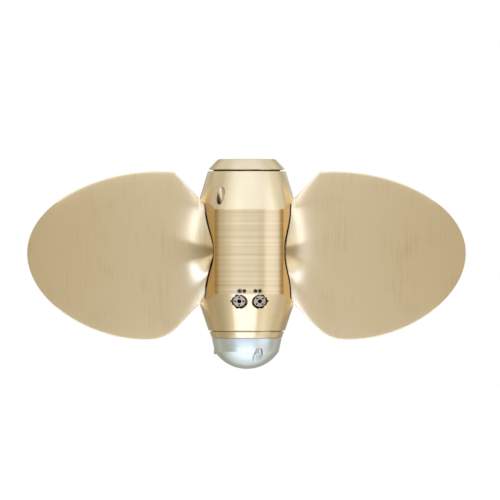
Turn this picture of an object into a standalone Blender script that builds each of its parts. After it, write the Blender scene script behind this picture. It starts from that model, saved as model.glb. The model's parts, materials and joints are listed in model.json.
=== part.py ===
"""Feathering propeller of a sailing yacht, with two blades, in metres.

The shaft axis is Z. Its forward end, towards the boat, is +Z, and the origin lies on that axis in the
plane of the hub's forward face. The blades lie along X, feathered: their faces hold the shaft axis.
The front, with the two pitch dials, faces -Y.
"""

import math

import bmesh
import bpy
from mathutils import Matrix, Vector

MM = 0.001
GAP = 0.3 * MM  # running or seating gap between two pieces
OVERRUN = 2.0 * MM  # how far a cutter runs past the face that it opens
SIDES = {"left": -1, "right": 1}

# Heights along the shaft axis, from the forward face down to the tip of the anode
FORWARD_RING_END = -8.8 * MM
HOUSING_TOP = -10.6 * MM
BAND_TOP = -43.6 * MM
SPINDLE_Z = -79.9 * MM
BAND_END = -117.0 * MM
HOUSING_END = -148.6 * MM
AFT_RING_TOP = -149.6 * MM
AFT_RING_END = -155.0 * MM
ANODE_TOP = AFT_RING_END - GAP
ANODE_EDGE = -166.9 * MM
ANODE_TIP = -182.0 * MM

# Radii about the shaft axis
FORWARD_FACE_R = 24.8 * MM
FORWARD_RING_R = 33.1 * MM
HOUSING_TOP_R = 33.8 * MM
BAND_R = 43.7 * MM
HOUSING_END_R = 33.2 * MM
AFT_RING_R = 32.4 * MM
ANODE_R = 30.3 * MM
ANODE_EDGE_R = 27.8 * MM
EDGE_BREAK = 0.4 * MM

# The four flats milled on the housing beside the blade seats, upright planes this far from the shaft axis
FLAT_DISTANCE = 42.0 * MM
FLAT_ANGLE = math.radians(59)  # from the front or the back, towards a blade
FLAT_HALF_WIDTH = 25.0 * MM

# The boss that sits on the shaft's taper, and its two bearing spigots
TAPER_R = 12.5 * MM
TAPER_LENGTH = 70.0 * MM
TAPER_SLOPE = 0.05  # a taper of 1 in 10 on the diameter
KEYWAY_WIDTH = 8.0 * MM
KEYWAY_DEPTH = 3.3 * MM
KEYWAY_END = -77.0 * MM
BOSS_R = 18.0 * MM
BOSS_END = -153.0 * MM
SPIGOT_R = 26.0 * MM
SPIGOT_DEPTH = 4.0 * MM  # how far a spigot enters the housing
SEAL_LIP_R = 30.2 * MM
FORWARD_SEAL_R = 29.0 * MM
AFT_SEAL_R = 29.9 * MM
SEAL_REBATE = 1.6 * MM

# The shaft nut and its tab washer, down inside the boss
NUT_WELL_R = 14.2 * MM
NUT_ACROSS_FLATS = 24.0 * MM
NUT_THREAD_R = 8.0 * MM
WASHER_HOLE_R = 8.4 * MM
NUT_HEIGHT = 13.0 * MM
WASHER_R = 13.6 * MM
WASHER_THICKNESS = 1.5 * MM

# The seat that each blade root turns in, about X
ROOT_BORE_R = 31.2 * MM
ROOT_BORE_FLOOR = 20.0 * MM
SEAT_FILLET_START = 32.1 * MM
SEAT_FLAT_R = 41.7 * MM
SEAT_FLAT_X = 36.6 * MM
SEAT_WALL_R = 45.6 * MM
SEAT_WALL_X = 37.0 * MM
SEAT_MOUTH_X = 50.0 * MM
FILLET_STEPS = 4
JOURNAL_R = ROOT_BORE_R - GAP
JOURNAL_END = 28.0 * MM
NECK_R = 30.0 * MM
SEAM_FACE = 1.3 * MM  # the open joint that shows round each blade root, along the spindle
SEAM_LIP = 1.2 * MM  # the same joint across the rounded lip
FLANGE_R = 41.4 * MM
RIM_R = SEAT_WALL_R - GAP
RIM_END = 41.5 * MM  # the end of the flange's rim, just past the housing's ears

# Blade outline, as (reach, height over the spindle axis)
TIP = (190.6 * MM, -1.6 * MM)
FORWARD_START = (42.2 * MM, 46.6 * MM)
SHOULDER = (63.4 * MM, 69.1 * MM)  # the corner at the inner end of the forward edge
SHOULDER_HANDLE = (61.2 * MM, 4.3 * MM)
FORWARD_TIP_HANDLE = 44.4 * MM
AFTER_START = (42.2 * MM, -47.0 * MM)
AFTER_START_HANDLE = (19.2 * MM, -18.0 * MM)
LOBE = (87.0 * MM, -77.2 * MM)  # the lowest point of the after edge
LOBE_INNER_HANDLE = 21.8 * MM
LOBE_OUTER_HANDLE = 50.0 * MM
AFTER_TIP_HANDLE = 40.6 * MM

# Blade thickness, as half values
BLADE_HALF_ROOT = 3.8 * MM
BLADE_HALF_TIP = 1.8 * MM
BLADE_HALF_EDGE = 0.6 * MM

# The fairing from the round root to the thin plate: a low shelf, and a narrow crest on it along the spindle.
# Above the crest it slopes away gently, and below it steeply.
FAIRING_START = 30.0 * MM
SHELF_HEIGHT = 8.0 * MM
SHELF_LENGTH = 12.0 * MM
CREST_HEIGHT = 19.4 * MM
CREST_LENGTH = 13.0 * MM
CREST_Z = 0.4 * MM
CREST_HALF = 2.8 * MM
CREST_SPREAD = 0.22  # how much wider the crest's flat half gets per length along the blade
CREST_ROUNDING = 1.5 * MM
OVER_WIDTH = 32.0 * MM
UNDER_WIDTH = 14.0 * MM
UNDER_SPREAD = 0.9  # how much wider the slope below the crest gets per length along the blade

# Pitch dials, their pockets and the small screws above them
DIAL_X = 9.0 * MM
DIAL_Z = -123.4 * MM
DIAL_R = 5.2 * MM
DIAL_THICKNESS = 3.0 * MM
DIAL_RECESS = 1.1 * MM
DIAL_SPLAY = math.radians(5)
POCKET_R = 6.0 * MM
POINTER_REACH = 8.4 * MM
POINTER_WIDTH = 1.5 * MM
POINTER_DEPTH = 1.4 * MM
LEDGE_DEPTH = 0.9 * MM
LEDGE_SHIFT = 1.4 * MM  # the shallow ledge round a pocket lies this much towards the middle
POCKET_CUTTER_REACH = 8.0 * MM
DIAL_KEY_FLATS = 3.0 * MM
DIAL_KEY_DEPTH = 1.8 * MM
DIAL_DOT_R = 0.75 * MM
DIAL_DOT_DEPTH = 1.0 * MM
DIAL_DOT_CIRCLE_R = 3.3 * MM
DIAL_DOT_SIDES = 8
DIAL_FIRST_DOTS = {"left": 0, "right": 45}  # degrees round each dial
SMALL_SCREW_Z = -114.2 * MM
LOCK_SCREW_X = 8.8 * MM
LOCK_SCREW_R = 1.8 * MM
STOP_PIN_X = 4.8 * MM
STOP_PIN_R = 1.4 * MM
SMALL_SCREW_LENGTH = 5.0 * MM
SMALL_SCREW_CUTTER_REACH = 3.0 * MM
LOCK_SCREW_RECESS = 0.5 * MM
LOCK_SCREW_KEY_FLATS = 2.5 * MM
LOCK_SCREW_KEY_DEPTH = 1.5 * MM
STOP_PIN_RECESS = 2.2 * MM

# The oblique drillings in the forward cone, closed by plugs
DRILLING_ANGLE = math.radians(37.7)
DRILLING_Z = -31.7 * MM
DRILLING_SLANT = math.radians(27.5)
DRILLING_R = 3.8 * MM
DRILLING_DEPTH = 13.0 * MM
DRILLING_CUTTER_REACH = 24.0 * MM
PLUG_R = 3.5 * MM
PLUG_LENGTH = 4.2 * MM
PLUG_KEY_FLATS = 4.0 * MM

# Anode screws, in counterbores parallel with the shaft
ANODE_SCREW_ANGLES = {"1": 19.0, "2": 139.0, "3": 259.0}
ANODE_SCREW_CIRCLE_R = 24.5 * MM
COUNTERBORE_R = 4.6 * MM
COUNTERBORE_TOP = -164.0 * MM
SCREW_HEAD_R = 4.25 * MM
SCREW_HEAD_HEIGHT = 5.0 * MM
SCREW_SHANK_R = 2.5 * MM
SCREW_HOLE_R = 2.8 * MM
SCREW_TOP = -151.8 * MM
SCREW_KEY_FLATS = 4.0 * MM

ROUND = 60  # sides of the large turned pieces
MIDDLE_ROUND = 32
SMALL_ROUND = 20
DOME_STEPS = 9
BLADE_AROUND = 48  # points round each section of a blade


def clear_scene():
    for item in list(bpy.data.objects):
        bpy.data.objects.remove(item)


def metal(name, colour, roughness, metallic=1.0):
    material = bpy.data.materials.new(name)
    material.use_nodes = True
    shader = material.node_tree.nodes["Principled BSDF"]
    shader.inputs["Base Color"].default_value = (*colour, 1.0)
    shader.inputs["Roughness"].default_value = roughness
    shader.inputs["Metallic"].default_value = metallic
    return material


def add_object(name, bm, material, place=Matrix()):
    """Turn a bmesh into a named object, shaded smooth with its edges kept sharp."""
    bmesh.ops.recalc_face_normals(bm, faces=bm.faces)
    mesh = bpy.data.meshes.new(name)
    bm.to_mesh(mesh)
    bm.free()
    mesh.shade_smooth()
    mesh.set_sharp_from_angle(angle=math.radians(30))
    mesh.materials.append(material)
    item = bpy.data.objects.new(name, mesh)
    item.matrix_world = place
    bpy.context.collection.objects.link(item)
    return item


def add_pivot(name, position):
    """An empty that holds the pieces turning about one joint's axis."""
    pivot = bpy.data.objects.new(name, None)
    pivot.location = position
    pivot.empty_display_size = 20 * MM
    bpy.context.collection.objects.link(pivot)
    return pivot


def hang_on(item, pivot):
    """Parent a piece to its pivot and keep it where it is."""
    item.parent = pivot
    item.matrix_parent_inverse = Matrix.Translation(pivot.location).inverted()


def turned(outline, sides, closed=True):
    """Spin an outline of (radius, height) points about Z. An open outline starts and ends on the axis."""
    bm = bmesh.new()
    points = [bm.verts.new((radius, 0, height)) for radius, height in outline]
    edges = [bm.edges.new(pair) for pair in zip(points, points[1:])]
    if closed:
        edges.append(bm.edges.new((points[-1], points[0])))
    bmesh.ops.spin(
        bm, geom=points + edges, cent=(0, 0, 0), axis=(0, 0, 1),
        angle=math.tau, steps=sides, use_merge=True,
    )
    bmesh.ops.remove_doubles(bm, verts=bm.verts, dist=0.001 * MM)
    return bm


def rod(radius, low, high, sides=SMALL_ROUND):
    """A plain cylinder on Z."""
    return turned([(0, high), (radius, high), (radius, low), (0, low)], sides, closed=False)


def hexagon(across_flats, low, high):
    return rod(across_flats / math.sqrt(3), low, high, sides=6)


def box(low, high):
    bm = bmesh.new()
    size = Vector(high) - Vector(low)
    middle = (Vector(high) + Vector(low)) / 2
    bmesh.ops.create_cube(bm, size=1, matrix=Matrix.Translation(middle) @ Matrix.Diagonal((*size, 1)))
    return bm


def cut(target, name, bm, place=Matrix()):
    """Take a hidden cutter's shape out of a piece."""
    cutter = add_object(name, bm, target.data.materials[0], place)
    cutter.hide_render = True
    cutter.display_type = "WIRE"
    cutter.parent = target
    cutter.matrix_parent_inverse = target.matrix_world.inverted()
    difference = target.modifiers.new(name, "BOOLEAN")
    difference.operation = "DIFFERENCE"
    difference.object = cutter


def facing(position, direction, up=Vector((0, 0, 1))):
    """A place whose local Z points along direction, with local Y as near to up as it can be."""
    z = Vector(direction).normalized()
    x = Vector(up).cross(z).normalized()
    y = z.cross(x)
    turn = Matrix((x, y, z)).transposed().to_4x4()
    return Matrix.Translation(position) @ turn


def cone_radius(height):
    """Radius of the housing's outside at a height."""
    if height > BAND_TOP:
        share = (height - BAND_TOP) / (HOUSING_TOP - BAND_TOP)
        return BAND_R + (HOUSING_TOP_R - BAND_R) * share
    if height < BAND_END:
        share = (height - BAND_END) / (HOUSING_END - BAND_END)
        return BAND_R + (HOUSING_END_R - BAND_R) * share
    return BAND_R


def make_boss(bronze):
    """The boss keyed to the shaft, with the forward ring and a spigot the housing turns on."""
    rebate = FORWARD_RING_END + SEAL_REBATE
    spigot_end = HOUSING_TOP - SPIGOT_DEPTH
    taper_end = -TAPER_LENGTH
    outline = [
        (FORWARD_FACE_R - EDGE_BREAK, 0),
        (FORWARD_FACE_R, -EDGE_BREAK),
        (FORWARD_RING_R, FORWARD_RING_END + EDGE_BREAK),
        (FORWARD_RING_R, FORWARD_RING_END),
        (SEAL_LIP_R, FORWARD_RING_END),
        (SEAL_LIP_R, rebate),
        (SPIGOT_R, rebate),
        (SPIGOT_R, spigot_end),
        (BOSS_R, spigot_end),
        (BOSS_R, BOSS_END),
        (NUT_WELL_R, BOSS_END),
        (NUT_WELL_R, taper_end),
        (TAPER_R - TAPER_LENGTH * TAPER_SLOPE, taper_end),
        (TAPER_R, -EDGE_BREAK),
        (TAPER_R + EDGE_BREAK, 0),
    ]
    boss = add_object("shaft_boss", turned(outline, ROUND), bronze)
    keyway = box((-KEYWAY_WIDTH / 2, 0, KEYWAY_END), (KEYWAY_WIDTH / 2, TAPER_R + KEYWAY_DEPTH, OVERRUN))
    lean = Matrix.Rotation(math.atan(TAPER_SLOPE), 4, "X")
    cut(boss, "keyway_cutter", keyway, lean)
    return boss


def make_nut(steel):
    """The tab washer and the shaft nut, seated on the boss's inner shoulder."""
    washer_top = -TAPER_LENGTH - GAP
    washer_end = washer_top - WASHER_THICKNESS
    outline = [
        (WASHER_R, washer_top),
        (WASHER_R, washer_end),
        (WASHER_HOLE_R, washer_end),
        (WASHER_HOLE_R, washer_top),
    ]
    add_object("tab_washer", turned(outline, MIDDLE_ROUND), steel)
    nut_top = washer_end - GAP
    nut = add_object("shaft_nut", hexagon(NUT_ACROSS_FLATS, nut_top - NUT_HEIGHT, nut_top), steel)
    thread = rod(NUT_THREAD_R, nut_top - NUT_HEIGHT - OVERRUN, nut_top + OVERRUN, MIDDLE_ROUND)
    cut(nut, "nut_thread_cutter", thread)


def make_seal(name, rubber, radius, low, high):
    inner = SPIGOT_R + GAP
    ring = turned([(radius, high), (radius, low), (inner, low), (inner, high)], ROUND)
    add_object(name, ring, rubber)


def make_aft_ring(bronze):
    """The ring on the boss's after end, which closes the housing and carries the anode."""
    rebate = AFT_RING_TOP - SEAL_REBATE
    spigot_top = HOUSING_END + SPIGOT_DEPTH - GAP
    outline = [
        (SEAL_LIP_R, AFT_RING_TOP),
        (AFT_RING_R - EDGE_BREAK, AFT_RING_TOP),
        (AFT_RING_R, AFT_RING_TOP - EDGE_BREAK),
        (ANODE_R, AFT_RING_END),
        (BOSS_R + GAP, AFT_RING_END),
        (BOSS_R + GAP, spigot_top),
        (SPIGOT_R, spigot_top),
        (SPIGOT_R, rebate),
        (SEAL_LIP_R, rebate),
    ]
    ring = add_object("aft_ring", turned(outline, ROUND), bronze)
    for number, degrees in ANODE_SCREW_ANGLES.items():
        hole = rod(SCREW_HOLE_R, AFT_RING_END - OVERRUN, SCREW_TOP + GAP)
        cut(ring, f"ring_hole_cutter_{number}", hole, screw_place(degrees))


def screw_place(degrees):
    """The axis of an anode screw, at an angle round the shaft from the front towards +X."""
    angle = math.radians(degrees)
    return Matrix.Translation(
        (ANODE_SCREW_CIRCLE_R * math.sin(angle), -ANODE_SCREW_CIRCLE_R * math.cos(angle), 0)
    )


def make_anode(zinc, steel):
    """The zinc nose: a short taper, then a dome, with three screws in counterbores."""
    sagitta = ANODE_EDGE - ANODE_TIP
    dome_r = (ANODE_EDGE_R**2 + sagitta**2) / (2 * sagitta)
    centre = ANODE_TIP + dome_r
    start = math.asin(ANODE_EDGE_R / dome_r)
    outline = [(0, ANODE_TOP), (ANODE_R, ANODE_TOP)]
    for step in range(DOME_STEPS + 1):
        angle = start * (1 - step / DOME_STEPS)
        outline.append((dome_r * math.sin(angle), centre - dome_r * math.cos(angle)))
    anode = add_object("anode", turned(outline, ROUND, closed=False), zinc)
    for number, degrees in ANODE_SCREW_ANGLES.items():
        place = screw_place(degrees)
        bore = [
            (0, ANODE_TOP + OVERRUN),
            (SCREW_HOLE_R, ANODE_TOP + OVERRUN),
            (SCREW_HOLE_R, COUNTERBORE_TOP),
            (COUNTERBORE_R, COUNTERBORE_TOP),
            (COUNTERBORE_R, ANODE_TIP),
            (0, ANODE_TIP),
        ]
        cut(anode, f"counterbore_cutter_{number}", turned(bore, SMALL_ROUND, closed=False), place)
        make_anode_screw(f"anode_screw_{number}", steel, place)


def make_anode_screw(name, steel, place):
    head_top = COUNTERBORE_TOP - GAP
    head_end = head_top - SCREW_HEAD_HEIGHT
    outline = [
        (0, SCREW_TOP),
        (SCREW_SHANK_R, SCREW_TOP),
        (SCREW_SHANK_R, head_top),
        (SCREW_HEAD_R, head_top),
        (SCREW_HEAD_R, head_end + EDGE_BREAK),
        (SCREW_HEAD_R - EDGE_BREAK, head_end),
        (0, head_end),
    ]
    screw = add_object(name, turned(outline, SMALL_ROUND, closed=False), steel, place)
    key = hexagon(SCREW_KEY_FLATS, head_end - OVERRUN, head_end + SCREW_HEAD_HEIGHT / 2)
    cut(screw, f"{name}_key_cutter", key, place)


def make_housing(bronze):
    """The barrel that turns with the blades: a band between two cones, bored for boss and blades."""
    spigot_bore = SPIGOT_R + GAP
    boss_bore = BOSS_R + GAP
    outline = [
        (HOUSING_TOP_R - EDGE_BREAK, HOUSING_TOP),
        (HOUSING_TOP_R, HOUSING_TOP - EDGE_BREAK),
        (BAND_R, BAND_TOP),
        (BAND_R, BAND_END),
        (HOUSING_END_R, HOUSING_END + EDGE_BREAK),
        (HOUSING_END_R - EDGE_BREAK, HOUSING_END),
        (spigot_bore, HOUSING_END),
        (spigot_bore, HOUSING_END + SPIGOT_DEPTH),
        (boss_bore, HOUSING_END + SPIGOT_DEPTH),
        (boss_bore, HOUSING_TOP - SPIGOT_DEPTH - GAP),
        (spigot_bore, HOUSING_TOP - SPIGOT_DEPTH - GAP),
        (spigot_bore, HOUSING_TOP),
    ]
    housing = add_object("hub_housing", turned(outline, ROUND), bronze)
    for side, sign in SIDES.items():
        seat = turned(seat_outline(), ROUND, closed=False)
        cut(housing, f"blade_seat_cutter_{side}", seat, blade_place(sign))
        for face, turn in {"front": sign * FLAT_ANGLE, "back": math.pi - sign * FLAT_ANGLE}.items():
            low = (-FLAT_HALF_WIDTH, -2 * BAND_R, HOUSING_END)
            high = (FLAT_HALF_WIDTH, -FLAT_DISTANCE, HOUSING_TOP)
            cut(housing, f"{face}_flat_cutter_{side}", box(low, high), Matrix.Rotation(turn, 4, "Z"))
    return housing


def seat_outline():
    """The hollow for one blade root, as (radius, reach): bore, rounded lip, face and wall."""
    return [
        (0, SEAT_MOUTH_X),
        (SEAT_WALL_R, SEAT_MOUTH_X),
        (SEAT_WALL_R, SEAT_WALL_X),
        (SEAT_FLAT_R, SEAT_FLAT_X),
        *reversed(seat_fillet()),
        (ROOT_BORE_R, ROOT_BORE_FLOOR),
        (0, ROOT_BORE_FLOOR),
    ]


def seat_fillet():
    """Points of the rounded lip from the root bore out to the seat's face, as (radius, reach)."""
    width = SEAT_FLAT_R - ROOT_BORE_R
    height = SEAT_FLAT_X - SEAT_FILLET_START
    points = []
    for step in range(FILLET_STEPS):
        angle = math.pi / 2 * step / FILLET_STEPS
        points.append(
            (ROOT_BORE_R + width * (1 - math.cos(angle)), SEAT_FILLET_START + height * math.sin(angle))
        )
    return points


def blade_place(sign):
    """The spindle's place: local Z runs outwards along the blade, local Y points aft-to-forward."""
    return facing((0, 0, SPINDLE_Z), (sign, 0, 0))


def bezier(ends_and_handles, steps=60):
    a, b, c, d = (Vector(point) for point in ends_and_handles)
    points = []
    for step in range(steps + 1):
        t = step / steps
        s = 1 - t
        points.append(a * s**3 + b * (3 * s * s * t) + c * (3 * s * t * t) + d * t**3)
    return points


def height_at(curve, x):
    """Height of a curve, given as points in order of x, where it passes x."""
    for low, high in zip(curve, curve[1:]):
        if low[0] <= x <= high[0]:
            share = (x - low[0]) / (high[0] - low[0])
            return low[1] + (high[1] - low[1]) * share
    return curve[-1][1]


def root_profile():
    """Radius of the blade root along the spindle, as (reach, radius): journal, neck and flange."""
    profile = [
        (ROOT_BORE_FLOOR + GAP, JOURNAL_R),
        (JOURNAL_END, JOURNAL_R),
        (JOURNAL_END + GAP, NECK_R),
    ]
    for radius, reach in seat_fillet():
        profile.append((reach + SEAM_FACE * 0.6, radius - SEAM_LIP))
    profile.append((SEAT_FLAT_X + SEAM_FACE, FLANGE_R))
    profile.append((SEAT_WALL_X + SEAM_FACE, RIM_R))
    profile.append((RIM_END, RIM_R))
    return profile


def forward_edge():
    """Edge from the root flange over the shoulder and round to the tip, as (x, height)."""
    curve = bezier([
        SHOULDER,
        (SHOULDER[0] + SHOULDER_HANDLE[0], SHOULDER[1] + SHOULDER_HANDLE[1]),
        (TIP[0], TIP[1] + FORWARD_TIP_HANDLE),
        TIP,
    ])
    return root_profile() + [FORWARD_START] + [(p.x, p.y) for p in curve]


def after_edge():
    """Edge from the root flange round the lobe to the tip, as (x, height)."""
    inner = bezier([
        AFTER_START,
        (AFTER_START[0] + AFTER_START_HANDLE[0], AFTER_START[1] + AFTER_START_HANDLE[1]),
        (LOBE[0] - LOBE_INNER_HANDLE, LOBE[1]),
        LOBE,
    ])
    outer = bezier([
        LOBE,
        (LOBE[0] + LOBE_OUTER_HANDLE, LOBE[1]),
        (TIP[0], TIP[1] - AFTER_TIP_HANDLE),
        TIP,
    ])
    flange = [(x, -radius) for x, radius in root_profile()]
    return flange + [(p.x, p.y) for p in inner + outer[1:]]


def blade_half_thickness(x, z, middle, half_chord):
    """Half the blade's thickness at a reach x and height z: round root, then fairing over a plate."""
    across = min(1, abs(z - middle) / half_chord)
    round_part = half_chord * math.sqrt(max(0, 1 - across * across))
    if x < JOURNAL_END:
        return round_part
    reach = max(0, (x - SEAT_FLAT_X) / (TIP[0] - SEAT_FLAT_X))
    plate = BLADE_HALF_ROOT + (BLADE_HALF_TIP - BLADE_HALF_ROOT) * reach
    lens = 1 - min(across, abs(z - middle) / FORWARD_START[1]) ** 2
    foil = (plate - BLADE_HALF_EDGE) * lens + BLADE_HALF_EDGE * (1 - (1 - lens) ** 4) ** 0.35
    out = max(0, x - FAIRING_START)
    shelf = SHELF_HEIGHT * math.exp(-out / SHELF_LENGTH) * lens
    past = abs(z - CREST_Z) - CREST_HALF - CREST_SPREAD * out
    beyond = (past + math.hypot(past, CREST_ROUNDING)) / 2
    over = max(0, 1 - beyond / OVER_WIDTH) ** 1.5
    under = max(0, 1 - beyond / (UNDER_WIDTH + UNDER_SPREAD * out)) ** 2
    crest = CREST_HEIGHT * math.exp(-out / CREST_LENGTH) * (over if z > CREST_Z else under)
    return min(round_part, foil + shelf + crest)


def blade_stations():
    """Reaches at which the blade's section is drawn, closer together where its shape turns quickly."""
    root = [x for x, radius in root_profile()] + [FORWARD_START[0]]
    to_shoulder = spaced(FORWARD_START[0], SHOULDER[0], 7, 1.3)
    to_lobe = spaced(SHOULDER[0], LOBE[0], 5, 1.2)
    count = 12
    span = TIP[0] - LOBE[0]
    to_tip = [TIP[0] - span * (1 - math.sin(math.pi / 2 * step / count)) for step in range(1, count)]
    return root + to_shoulder + to_lobe + to_tip + [TIP[0] - 0.1 * MM]


def spaced(low, high, count, power):
    """Values after low and up to high, whose steps grow where the power is over 1."""
    return [low + (high - low) * (step / count) ** power for step in range(1, count + 1)]


def make_blade(name, bronze, sign):
    """One blade: a grid whose rows become the sections from the root to the tip."""
    stations = blade_stations()
    top = forward_edge()
    bottom = after_edge()
    bm = bmesh.new()
    bmesh.ops.create_grid(bm, x_segments=BLADE_AROUND, y_segments=len(stations) - 1, size=0.5)
    for vert in bm.verts:
        turn = math.tau * (vert.co.x + 0.5)
        x = stations[round((vert.co.y + 0.5) * (len(stations) - 1))]
        high = height_at(top, x)
        low = height_at(bottom, x)
        middle = (high + low) / 2
        half_chord = (high - low) / 2
        z = middle + half_chord * math.sin(turn)
        thickness = blade_half_thickness(x, z, middle, half_chord)
        side = math.cos(turn)
        y = math.copysign(thickness, side) if abs(side) > 1e-9 else 0
        vert.co = (y, z, x)
    bmesh.ops.remove_doubles(bm, verts=bm.verts, dist=0.001 * MM)
    bmesh.ops.holes_fill(bm, edges=bm.edges, sides=BLADE_AROUND)
    pivot = add_pivot(f"{name}_spindle", (0, 0, SPINDLE_Z))
    blade = add_object(name, bm, bronze, blade_place(sign))
    hang_on(blade, pivot)


def dial_place(sign):
    """Centre of a pitch dial on the after cone, with local Z pointing out."""
    radius = cone_radius(DIAL_Z)
    y = -math.sqrt(radius**2 - DIAL_X**2)
    slope = math.atan((BAND_R - HOUSING_END_R) / (BAND_END - HOUSING_END))
    direction = Vector((
        sign * math.sin(DIAL_SPLAY) * math.cos(slope),
        -math.cos(DIAL_SPLAY) * math.cos(slope),
        -math.sin(slope),
    ))
    return facing((sign * DIAL_X, y, DIAL_Z), direction)


def make_dial(name, housing, steel, sign, first_dot):
    """A pitch dial in its pocket, with a key socket, four dots and a pointer notch outside it."""
    place = dial_place(sign)
    floor = -DIAL_RECESS - DIAL_THICKNESS - GAP
    pocket = rod(POCKET_R, floor, POCKET_CUTTER_REACH, MIDDLE_ROUND)
    cut(housing, f"{name}_pocket_cutter", pocket, place)
    half = POINTER_WIDTH / 2
    low, high = sorted((sign * (POCKET_R - OVERRUN), sign * POINTER_REACH))
    notch = box((low, -half, -POINTER_DEPTH), (high, half, POCKET_CUTTER_REACH))
    cut(housing, f"{name}_notch_cutter", notch, place)
    ledge = rod(POCKET_R, -LEDGE_DEPTH, POCKET_CUTTER_REACH, MIDDLE_ROUND)
    cut(housing, f"{name}_ledge_cutter", ledge, place @ Matrix.Translation((-sign * LEDGE_SHIFT, 0, 0)))
    dial = add_object(name, rod(DIAL_R, floor + GAP, -DIAL_RECESS, MIDDLE_ROUND), steel, place)
    key = hexagon(DIAL_KEY_FLATS, -DIAL_RECESS - DIAL_KEY_DEPTH, OVERRUN)
    cut(dial, f"{name}_key_cutter", key, place)
    for number in range(4):
        angle = math.radians(first_dot + 90 * number)
        spot = Matrix.Translation((DIAL_DOT_CIRCLE_R * math.cos(angle), DIAL_DOT_CIRCLE_R * math.sin(angle), 0))
        dot = rod(DIAL_DOT_R, -DIAL_RECESS - DIAL_DOT_DEPTH, OVERRUN, DIAL_DOT_SIDES)
        cut(dial, f"{name}_dot_cutter_{number + 1}", dot, place @ spot)


def make_small_screw(name, housing, material, x, radius, recess):
    """A headless screw or pin in the band, facing the front."""
    y = -math.sqrt(BAND_R**2 - x * x)
    place = facing((x, y, SMALL_SCREW_Z), (0, -1, 0))
    end = -recess - SMALL_SCREW_LENGTH
    cut(housing, f"{name}_hole_cutter", rod(radius + GAP, end - GAP, SMALL_SCREW_CUTTER_REACH), place)
    return add_object(name, rod(radius, end, -recess), material, place)


def make_lock_screw(name, housing, steel, x):
    screw = make_small_screw(name, housing, steel, x, LOCK_SCREW_R, LOCK_SCREW_RECESS)
    key = hexagon(LOCK_SCREW_KEY_FLATS, -LOCK_SCREW_RECESS - LOCK_SCREW_KEY_DEPTH, OVERRUN)
    cut(screw, f"{name}_key_cutter", key, screw.matrix_world)


def make_drilling(name, housing, bronze, turn):
    """An oblique drilling that runs aft and inwards from the forward cone, with a plug at its end."""
    radius = cone_radius(DRILLING_Z)
    angle = -DRILLING_ANGLE
    out = Vector((math.sin(angle), -math.cos(angle), 0))
    slope = math.atan((BAND_R - HOUSING_TOP_R) / (HOUSING_TOP - BAND_TOP))
    normal = out * math.cos(slope) + Vector((0, 0, math.sin(slope)))
    along = out * math.sin(slope) - Vector((0, 0, math.cos(slope)))
    inwards = along * math.cos(DRILLING_SLANT) - normal * math.sin(DRILLING_SLANT)
    position = out * radius + Vector((0, 0, DRILLING_Z))
    place = Matrix.Rotation(turn, 4, "Z") @ facing(position, -inwards, up=normal)
    cut(housing, f"{name}_drill_cutter", rod(DRILLING_R, -DRILLING_DEPTH, DRILLING_CUTTER_REACH), place)
    low = -DRILLING_DEPTH + GAP
    plug = add_object(name, rod(PLUG_R, low, low + PLUG_LENGTH), bronze, place)
    key = hexagon(PLUG_KEY_FLATS, low + PLUG_LENGTH / 2, low + PLUG_LENGTH + OVERRUN)
    cut(plug, f"{name}_key_cutter", key, place)


clear_scene()
bronze_polished = metal("nickel_aluminium_bronze", (0.62, 0.50, 0.30), 0.28)
stainless = metal("stainless_steel", (0.60, 0.60, 0.58), 0.25)
zinc_cast = metal("zinc", (0.62, 0.66, 0.66), 0.30)
seal_rubber = metal("nitrile_rubber", (0.03, 0.025, 0.02), 0.60, metallic=0.0)

make_boss(bronze_polished)
make_nut(stainless)
make_seal("forward_seal", seal_rubber, FORWARD_SEAL_R, HOUSING_TOP + GAP, FORWARD_RING_END + SEAL_REBATE - GAP)
make_seal("aft_seal", seal_rubber, AFT_SEAL_R, AFT_RING_TOP - SEAL_REBATE + GAP, HOUSING_END - GAP)
make_aft_ring(bronze_polished)
make_anode(zinc_cast, stainless)
hub = make_housing(bronze_polished)
for side, sign in SIDES.items():
    make_dial(f"pitch_dial_{side}", hub, stainless, sign, DIAL_FIRST_DOTS[side])
    make_lock_screw(f"dial_lock_screw_{side}", hub, stainless, sign * LOCK_SCREW_X)
    make_small_screw(
        f"dial_stop_pin_{side}", hub, bronze_polished, sign * STOP_PIN_X, STOP_PIN_R, STOP_PIN_RECESS,
    )
    make_blade(f"blade_{side}", bronze_polished, sign)
make_drilling("front_plug", hub, bronze_polished, 0)
make_drilling("rear_plug", hub, bronze_polished, math.pi)
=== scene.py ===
# %% [markdown]
# # A feathering propeller, finished in Blender
# The propeller of a sailing yacht turns its two blades edge on to the water when the boat sails. This one is
# shown in that pose: a turned bronze hub with its shaft axis upright, two broad brushed blades, and a zinc
# anode at the lower, after end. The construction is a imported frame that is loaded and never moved. This
# script makes the fine surfaces around it, their finishes, the light and the camera, one cell at a time.

# %% Load the frame
import json
import math

import bmesh
import bpy
from mathutils import Matrix, Vector


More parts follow.
